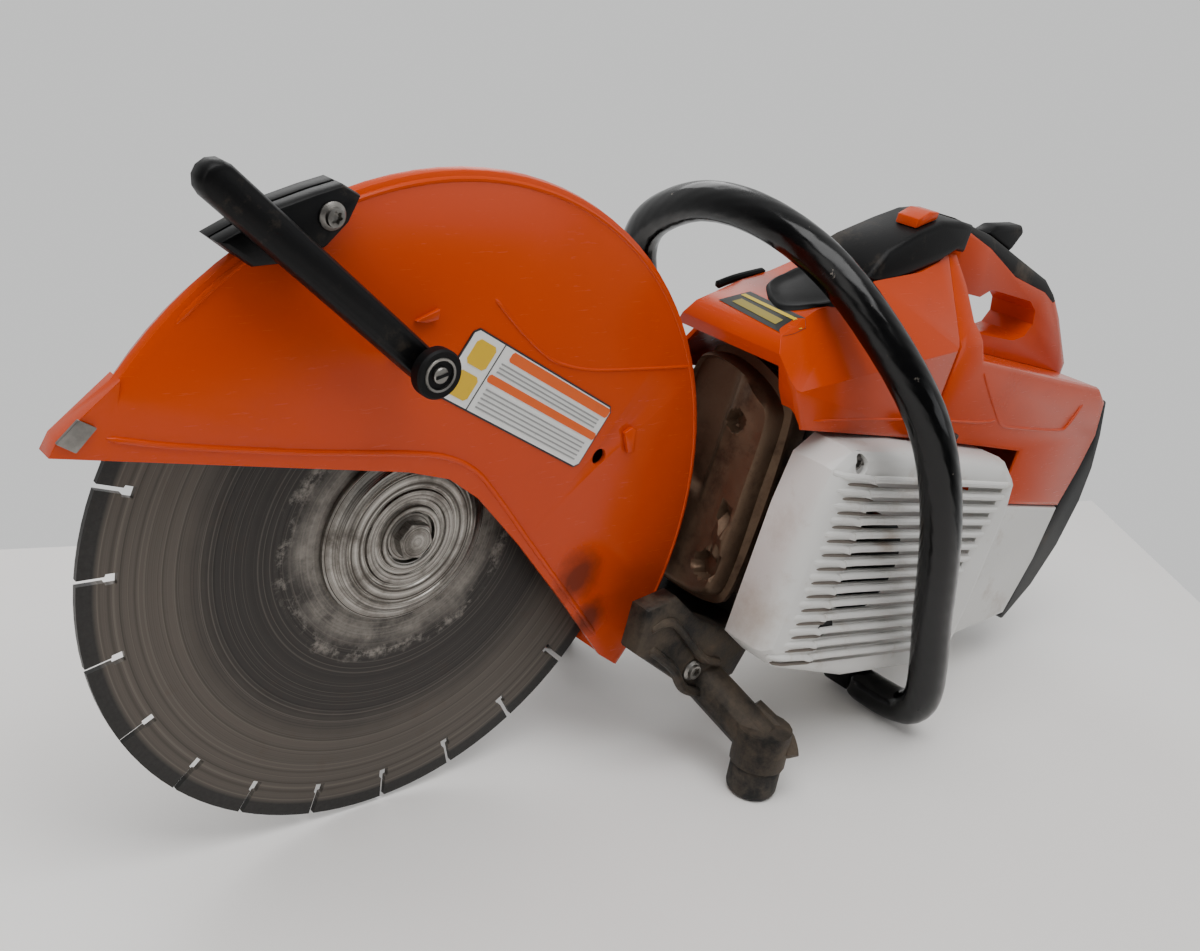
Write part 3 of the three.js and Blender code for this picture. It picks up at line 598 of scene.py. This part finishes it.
def decal(name, body, material, node, outline, lift, profile=FLAT_SKIN):
    """A thin skin laid from above on a CAD node.

    The outline is (x, y) points. The profile is (share of the outline, height over the lift) rings.
    """
    surface = surface_of(node)
    down = TILT.to_3x3() @ -UPRIGHT
    back = SAW.inverted()
    cx = sum(x for x, _ in outline) / len(outline)
    cy = sum(y for _, y in outline) / len(outline)
    rows = []
    for share, height in profile:
        reach = max(share, CENTRE_SHARE)
        row = []
        for x, y in outline:
            hit = surface.ray_cast(at(cx + (x - cx) * reach, cy + (y - cy) * reach, ABOVE_ALL), down)[0]
            row.append(back @ hit / MM + UPRIGHT * (lift + height))
        rows.append(row)
    points = [point for row in rows for point in row]
    return piece(name, body, material, points, bands(rows) + [tuple(range(len(outline)))])


TORX = {"lobes": 6, "depth": 0.17}


def torx_screw(name, body, material, x, z, seat, radius, *nodes):
    """A washer-headed screw with a six-lobed socket, its face towards the operator's left."""
    top = seat - 0.62 * radius
    washer = [(radius, seat), (radius, seat - 0.12 * radius), (0.86 * radius, seat - 0.22 * radius)]
    head = [(0.7 * radius, seat - 0.3 * radius), (0.66 * radius, top + 0.1), (0.58 * radius, top)]
    socket = [(0.4 * radius, top, "wavy"), (0.36 * radius, top + 0.35 * radius, "wavy"),
              (0.02 * radius, top + 0.4 * radius)]
    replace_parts(lathe(name, body, material, washer + head + socket, x, z, 72, **TORX), *nodes)


# ------------------------------------------------------------------ pieces of the guard

GUARD_FACE = -24.3                     # the near face of the guard, and y points towards the far side
GUARD_RIM = 195
CONNECTOR = (-50, 105)                 # the water connector at the lever's lower end
LEVER_SCREW = (-112, 164)


def guard_line(name, orange, path, sunk, radius):
    """A raised line on the guard's near face, with its middle sunk into the face."""
    bead(name, "guard", orange, curve_through([(x, GUARD_FACE + sunk, z) for x, z in path]), radius)


def add_guard_lines(orange):
    lower = [(-184, 53), (-150, 51), (-90, 51), (-30, 53), (-4, 52), (16, 46), (34, 34), (72, 3),
             (112, -29), (150, -60)]
    guard_line("guard_lower_crease", orange, lower, 0.4, 1.5)
    ridge = [(-2, 138), (20, 124), (41, 113), (56, 108.5), (80, 107.5), (120, 112), (158, 117)]
    guard_line("guard_face_ridge", orange, ridge, 0.6, 1.1)
    turns = [math.radians(a) for a in range(-18, 150, 2)]
    rim = [(GUARD_RIM * math.cos(a), GUARD_FACE + 1.4, GUARD_RIM * math.sin(a)) for a in turns]
    bead("guard_rim_crease", "guard", orange, rim, 1.6)
    front = [(-47, 121), (-35, 129), (-34, 123.5), (-41, 121)]
    rear = [(125, 61), (117, 73), (122, 77), (126, 76), (130, 62)]
    for name, outline in (("guard_mark_front", front), ("guard_mark_rear", rear)):
        prism(name, "guard", orange, outline, GUARD_FACE - 2.4, GUARD_FACE + 0.4, 0.6)


def add_connector(steel, black):
    collar = [(8.4, -57), (8.4, -58.6), (11.4, -58.8), (12.4, -57.6), (12.4, -52.5), (8.4, -52.5)]
    ring = [(7.2, -57), (7.2, -59), (8.3, -59.2), (8.7, -58.4), (8.7, -57)]
    well = [(7.3, -56), (7.3, -57.8), (0.1, -57.8)]
    core = [(4, -57), (4, -59.2), (3.4, -59.8), (0.1, -60)]
    lathe("connector_collar", "guard", black, collar, *CONNECTOR, 48)
    lathe("connector_ring", "guard", steel, ring, *CONNECTOR, 48)
    lathe("connector_well", "guard", black, well, *CONNECTOR, 40)
    lathe("connector_core", "guard", steel, core, *CONNECTOR, 40)
    slot = [(-53.2, 104.2), (-47.2, 107.1), (-46.8, 105.8), (-52.8, 102.9)]
    prism("connector_slot", "guard", black, slot, -60.4, -59.6)


LABEL_CORNER = (-23, 85)
LABEL_ACROSS = (0.953, -0.304)
LABEL_UP = (0.36, 0.933)
LABEL_LONG = 118
LABEL_HIGH = 40.5
PRINT_LAYER = 0.25                     # how far each printed layer stands over the one below


def label_point(u, v):
    """Millimetres across and up the guard's label, to a side-view point."""
    return tuple(LABEL_CORNER[i] + u * LABEL_ACROSS[i] + v * LABEL_UP[i] for i in (0, 1))


def label_panel(name, color, across, up, layer=3, corner=1.2):
    """A printed panel with cut corners, between two distances across the label and two up it."""
    (u0, u1), (v0, v1) = across, up
    outline = [(u0 + corner, v0), (u1 - corner, v0), (u1, v0 + corner), (u1, v1 - corner),
               (u1 - corner, v1), (u0 + corner, v1), (u0, v1 - corner), (u0, v0 + corner)]
    prism(name, "guard", flat_print(name, color), [label_point(u, v) for u, v in outline],
          GUARD_FACE - PRINT_LAYER * layer, GUARD_FACE + 0.3)


def add_guard_label():
    orange, yellow, grey = (222, 92, 10), (218, 176, 24), (150, 150, 149)
    inside = (1, LABEL_HIGH - 1)
    label_panel("label_border", (24, 22, 22), (0, LABEL_LONG), (0, LABEL_HIGH), 1, 3)
    label_panel("label_field", (226, 226, 224), (1, LABEL_LONG - 1), inside, 2, 2.4)
    label_panel("label_band_upper", orange, (30, LABEL_LONG - 1.6), (33, 38.8))
    label_panel("label_band_lower", orange, (24, LABEL_LONG - 1.2), (18.5, 23))
    label_panel("label_divider", (60, 58, 56), (22.4, 23), inside, corner=0.1)
    label_panel("label_badge_upper", yellow, (5, 19.5), (22, 36), corner=2)
    label_panel("label_badge_lower", yellow, (5, 19.5), (4, 18), corner=2)
    heights = [4 + 2.6 * i for i in range(5)] + [25 + 2.4 * i for i in range(3)]
    for i, v in enumerate(heights):
        label_panel(f"label_rule_{i}", grey, (27, LABEL_LONG - 6), (v, v + 0.9), corner=0.2)


def add_flange_rings(turned):
    """The front flange, as steps and grooves from its bolt outwards."""
    inner = [(14.8, -5.4), (15, -9.4), (16.2, -10), (18.4, -9.8), (19, -8), (22, -8), (22.6, -9)]
    middle = [(27.5, -9.2), (28.2, -8), (30, -8), (30.6, -9), (37.6, -9.1), (38.2, -8), (39.6, -8)]
    outer = [(40.2, -8.8), (43, -8.2), (44.4, -6.6), (48.4, -5.2), (50.4, -5), (51, -4.4), (51, -2)]
    flange = lathe("flange_rings", "wheel", turned, inner + middle + outer, 0, 0, 96)
    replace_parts(flange, "front_flange")


# ------------------------------------------------------------------ pieces of the engine side

MUFFLER_DOMES = ((-31, 88, 17, 3), (-44, -4, 18, 4), (-48, 18, 9, 4.5), (-45, 30, 9, 2),
                 (-38, 108, 12, 3), (-6, -8, 16, 3))      # y, z, radius and height of each
MUFFLER_HOLES = ((-31, 88, 6.5), (-44, -4, 8.5), (-45, 30, 5.5))
HOLE_DEPTH = 9
PRESS_ROWS = 45


def dome(distance, radius, height):
    """A smooth round bump, 0 beyond its radius."""
    near = max(0.0, 1 - distance / radius)
    return height * near * near * (3 - 2 * near)


def step_up(value, edge, width):
    """A smooth step from 0 to 1 round an edge."""
    t = min(max((value - edge) / width + 0.5, 0), 1)
    return t * t * (3 - 2 * t)


def muffler_press(y, z):
    """How far the pressed front stands forward of its flat, in millimetres."""
    lift = -5 * step_up(y, -20, 8) * step_up(z, 34 + 0.4 * (y + 20), 10)
    for cy, cz, radius, height in MUFFLER_DOMES:
        lift += dome(math.hypot(y - cy, z - cz), radius, height)
    for cy, cz, radius in MUFFLER_HOLES:
        lift -= HOLE_DEPTH * step_up(radius - math.hypot(y - cy, z - cz), 0, 1.8)
    return lift


def rounded(corners, times=3):
    """The same outline with its corners cut again and again."""
    for _ in range(times):
        pairs = zip(corners, corners[1:] + corners[:1])
        corners = [(a[0] * s + b[0] * (1 - s), a[1] * s + b[1] * (1 - s))
                   for a, b in pairs for s in (0.75, 0.25)]
    return corners


def add_muffler(hot):
    """Two pressed shells that meet at a rolled seam."""
    front, depth, near, far, low, high = 206, 43, -58, 24, -32, 128
    outline = rounded([(near + 10, low), (far - 10, low), (far, low + 12), (far, high - 12),
                       (far - 16, high), (near + 34, high - 4), (near + 8, high - 16), (near, high - 30),
                       (near, low + 16)])
    cy, cz = (near + far) / 2, (low + high) / 2

    def row(share, grow, x, pressed=False):
        points = []
        for y, z in outline:
            reach = share * (1 + grow / math.hypot(y - cy, z - cz))
            py, pz = cy + (y - cy) * reach, cz + (z - cz) * reach
            points.append((x - (muffler_press(py, pz) if pressed else 0), py, pz))
        return points

    sides = ((0.96, -4, 2.4), (0.985, -4, 4.5), (1, -4, 8), (1, -4, 16), (1, -1, 17.4), (1, 1.5, 18.2),
             (1, 1.5, 21.4), (1, -1, 22), (1, -4, 24), (1, -4, depth - 6), (0.96, -4, depth),
             (0.01, -4, depth))
    rows = [row(0.01 + 0.93 * i / (PRESS_ROWS - 1), -4, front + 1.5, True) for i in range(PRESS_ROWS)]
    rows += [row(share, grow, front + behind) for share, grow, behind in sides]
    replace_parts(loft("muffler_shell", "chassis", hot, rows), "muffler")


LOUVRES = {"count": 14, "pitch": 9.4, "top": 77, "rear": 426, "taper": 2.5}
COVER_SCREW = (244, 89)


def add_louvres(white, grime):
    """A rounded rib over each slot of the starter cover, and in front of each a dark strip of painted shade
    and dirt in the groove.
    """
    for i in range(LOUVRES["count"]):
        slot = LOUVRES["top"] - i * LOUVRES["pitch"]
        rib = slot + LOUVRES["pitch"] / 2
        end = LOUVRES["rear"] - i * LOUVRES["taper"]
        path = [(224, -97, rib), (228, -100.8, rib), (235, -103.4, rib), (246, -104.1, rib),
                (255, -104.2, rib - 0.5), (262, -104.8, rib - 1.7), (272, -105.4, rib),
                (end - 10, -105.2, rib), (end, -102.6, rib)]
        bead(f"louvre_{i}", "chassis", white, curve_through(path, 3), 2.3)
        # grime here is a dark strip that paints the groove's shade, together with the dirt in it
        groove = [(228, -99.6, slot), (235, -102.9, slot), (246, -103.7, slot), (268, -103.8, slot - 0.7)]
        bead(f"louvre_gap_dirt_and_shade_{i}", "chassis", grime, curve_through(groove, 3), 1.2)


def add_starter_details(white, steel, dark, grime):
    add_louvres(white, grime)
    torx_screw("cover_torx", "chassis", steel, *COVER_SCREW, -96.5, 6, "cover_screw")
    chip = [(259, -22), (264, -15), (272, -16), (275, -21), (270, -25), (263, -27)]
    prism("cover_chip", "chassis", dark, chip, -104.6, -103.8)


BODY_FACE = -79.6                      # just inside the near face of the hood and the rear housing


def add_shroud_lines(orange, black):
    side = [(212, 107), (260, 111), (333, 115.5), (400, 118), (424, 121)]
    pocket = [(384, 153), (404, 138), (424, 124), (434, 118.5), (450, 117), (520, 119), (535, 124),
              (546, 142)]
    for name, path, radius in (("hood_side_crease", side, 1.1), ("housing_pocket_line", pocket, 1.2)):
        bead(name, "chassis", orange, curve_through([(x, BODY_FACE, z) for x, z in path]), radius)
    trim = [(200, 14, 161), (214, 12, 168.5), (238, 11, 177)]
    bead("hood_far_trim", "chassis", black, curve_through(trim), 2.6)


def add_hood_label():
    label = [(188, -2), (196, -5), (206, -9), (204, -35), (202, -61), (192, -62), (182, -62), (185, -32)]
    stripe = [(199.5, -8), (202, -9), (198.5, -61), (196, -61)]
    block = [(191, -10), (196.5, -12), (193, -50), (187, -50)]
    for name, color, outline, lift in (("hood_label", (34, 36, 32), label, 0.35),
                                       ("hood_label_stripe", (214, 186, 40), stripe, 0.6),
                                       ("hood_label_block", (150, 134, 44), block, 0.6)):
        decal(name, "chassis", flat_print(name, color), "hood", dense(outline), lift)


def add_hood_recess(dark):
    """An oval dish with a raised lip, on top of the hood."""
    oval = [(206, -24), (201, -40), (214, -53), (238, -56), (256, -44), (262, -24), (256, -4), (236, -3),
            (218, -10)]
    smooth = curve_through([(x, y, 0) for x, y in oval + oval[:1]])[:-1]
    dish = ((0.0, 1.6), (0.3, 1.4), (0.5, 0.8), (0.64, 0.1), (0.76, 0.1))
    lip = ((0.86, 1.2), (0.92, 1.8), (0.97, 1.4), (1.0, 0))
    decal("hood_recess", "chassis", dark, "hood", [(p.x, p.y) for p in smooth], 0.3, dish + lip)


# ------------------------------------------------------------------ pieces of the far side and the feet

FUEL_CAP = (512, 10)
BELT_COVER_FACE = 63.6
BELT_RUN = (295, 20)                   # from the spindle to the crankshaft, in side view
BELT_COVER_SCREWS = ((-44, 30), (-30, -46), (150, 66), (150, -46), (332, 50), (326, -18))
FOOT_SCREW = (207, -70)


def add_fuel_cap(black):
    skirt = [(22, 58.4), (22, 61), (22, 62, "wavy"), (22, 68.5, "wavy")]
    top = [(20.5, 70), (16, 70), (15, 68.6), (0.2, 68.6)]
    cap = lathe("fuel_cap_ribbed", "fuel_cap", black, skirt + top, *FUEL_CAP, 120, 24, 0.025)
    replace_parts(cap, "fuel_cap")
    x, z = FUEL_CAP
    bar = [(x - 15, z - 3), (x + 15, z - 3), (x + 15, z + 3), (x - 15, z + 3)]
    prism("fuel_cap_grip", "fuel_cap", black, bar, 67.5, 71.5, 1.2)


def add_belt_cover_details(steel, black):
    for i, (x, z) in enumerate(BELT_COVER_SCREWS):
        head = [(5.5, 0), (5.5, 2), (4.4, 2.8), (2.4, 2.8, "wavy"), (2.2, 1.4, "wavy"), (0.1, 1.4)]
        profile = [(radius, BELT_COVER_FACE + y, *wavy) for radius, y, *wavy in head]
        lathe(f"belt_cover_screw_{i}", "chassis", steel, profile, x, z, 48, **TORX)
    lean = math.atan2(BELT_RUN[1], BELT_RUN[0])
    outline = []
    for (x, z), radius, first in (((0, 0), 40, 90), (BELT_RUN, 33, -90)):
        turns = [math.radians(first + 12 * k) + lean for k in range(16)]
        outline += [(x + radius * math.cos(a), z + radius * math.sin(a)) for a in turns]
    prism("belt_cover_panel", "chassis", black, outline, BELT_COVER_FACE, BELT_COVER_FACE + 1.6, 0.8)


def add_foot_details(steel, dirty):
    torx_screw("foot_torx", "chassis", steel, *FOOT_SCREW, -60.2, 7, "foot_bolt")
    upper = [(156, -58, -40), (172, -61, -34), (196, -61.5, -50), (214, -61.5, -62), (232, -61, -66)]
    bead("foot_rib_upper", "chassis", dirty, curve_through(upper), 3)
    lower = [(160, -58, -52), (186, -61, -66), (204, -61, -82), (226, -62, -88)]
    bead("foot_rib_lower", "chassis", dirty, curve_through(lower), 3.4)
    knuckle = [(246, 86, -86), (252, 100, -92), (256, 112, -98), (255, 119, -106)]
    for side, label in ((-1, "left"), (1, "right")):
        path = [(x, side * y, z) for x, y, z in knuckle]
        bead(f"foot_knuckle_{label}", "chassis", dirty, curve_through(path), 8)


# ------------------------------------------------------------------ finishes and details together

PLAIN_EDGE = 0.5
EDGES = {"hood": 2.2, "rear_housing": 2.2, "starter_cover": 1.2, "tank_housing": 2, "filter_cover": 2.5,
         "guard_lever": 2, "lever_bracket": 2, "handle_frame": 2.5, "grip_sleeve": 1.5,
         "cutting_wheel": 0, "crankshaft": 0, "flywheel": 0, "engine_cylinder": 0, "handlebar": 0,
         "throttle_trigger": 1.5, "throttle_lockout": 1.5, "stop_switch": 1, "rear_skid": 2,
         "foot_bracket": 3, "upper_bar_clamp": 1.5, "lower_bar_clamp": 1.5, "guard_nose_clip": 0.4,
         "foot_buffer_left": 2, "foot_buffer_right": 2}
GUARD_SOOT = (((118, -24, -20), 26), ((140, -24, -48), 20))


def dress_saw():
    """Gives every CAD node its finish, and adds the detail pieces in the same materials."""
    orange, white, black = orange_plastic(), white_plastic(), black_plastic()
    guard_orange = orange_plastic("guard_orange", 0.06, GUARD_SOOT)
    dark = black_plastic("dark_recess", 0.0, 0.55)
    tube, soft, steel = black_paint(), rubber(), worn_steel()
    cast, turned, hot = cast_metal(), turned_steel(), heat_stained_steel()
    dirty = cast_metal("dirty_bracket", (46, 44, 42), 0.9)
    finishes = {
        guard_orange: ["guard_shell"],
        orange: ["hood", "rear_housing", "handle_frame", "stop_switch"],
        white: ["starter_cover", "tank_housing"],
        black: ["filter_cover", "throttle_trigger", "throttle_lockout", "fuel_cap", "rear_skid", "belt_cover",
                "lever_bracket", "guard_lever", "water_connector", "starter_pulley", "spring_housing",
                "upper_bar_clamp", "lower_bar_clamp", "starter_grip"],
        tube: ["handlebar"],
        soft: ["grip_sleeve", "foot_buffer_left", "foot_buffer_right", "rear_foot", "drive_belt",
               "intake_boot", "spark_plug_boot", "air_filter"],
        steel: ["guard_nose_clip", "lever_screw", "spindle_bearing", "clutch_drum", "clutch_shoes",
                "crankshaft", "spark_plug", "muffler_bolt", "cover_screw", "foot_bolt", "spindle"],
        turned: ["front_flange", "rear_flange", "wheel_bolt"],
        cast: ["arm_casting", "crankcase", "flywheel", "engine_cylinder", "exhaust_port", "carburettor",
               "driven_pulley"],
        hot: ["muffler"],
        dirty: ["foot_bracket"],
        blade_steel(): ["cutting_wheel"],
    }
    for material, names in finishes.items():
        for name in names:
            paint(NODES[name], material)
            shade(NODES[name], EDGES.get(name, PLAIN_EDGE))
    round_tube(NODES["handlebar"])
    add_guard_lines(guard_orange)
    add_connector(steel, dark)
    torx_screw("lever_torx", "guard", steel, *LEVER_SCREW, -36.2, 6.4, "lever_screw")
    add_guard_label()
    add_flange_rings(turned)
    add_muffler(hot)
    # the louvre grooves' grey-brown strips are painted shade together with the dirt in them
    add_starter_details(white, steel, dark, flat_print("louvre_dirt_and_painted_shade", (112, 104, 96), 0.8))
    add_shroud_lines(orange, black)
    add_hood_label()
    add_hood_recess(dark)
    add_fuel_cap(black)
    add_belt_cover_details(steel, black)
    add_foot_details(steel, dirty)


add_camera()
add_lights()
add_floor()
dress_saw()
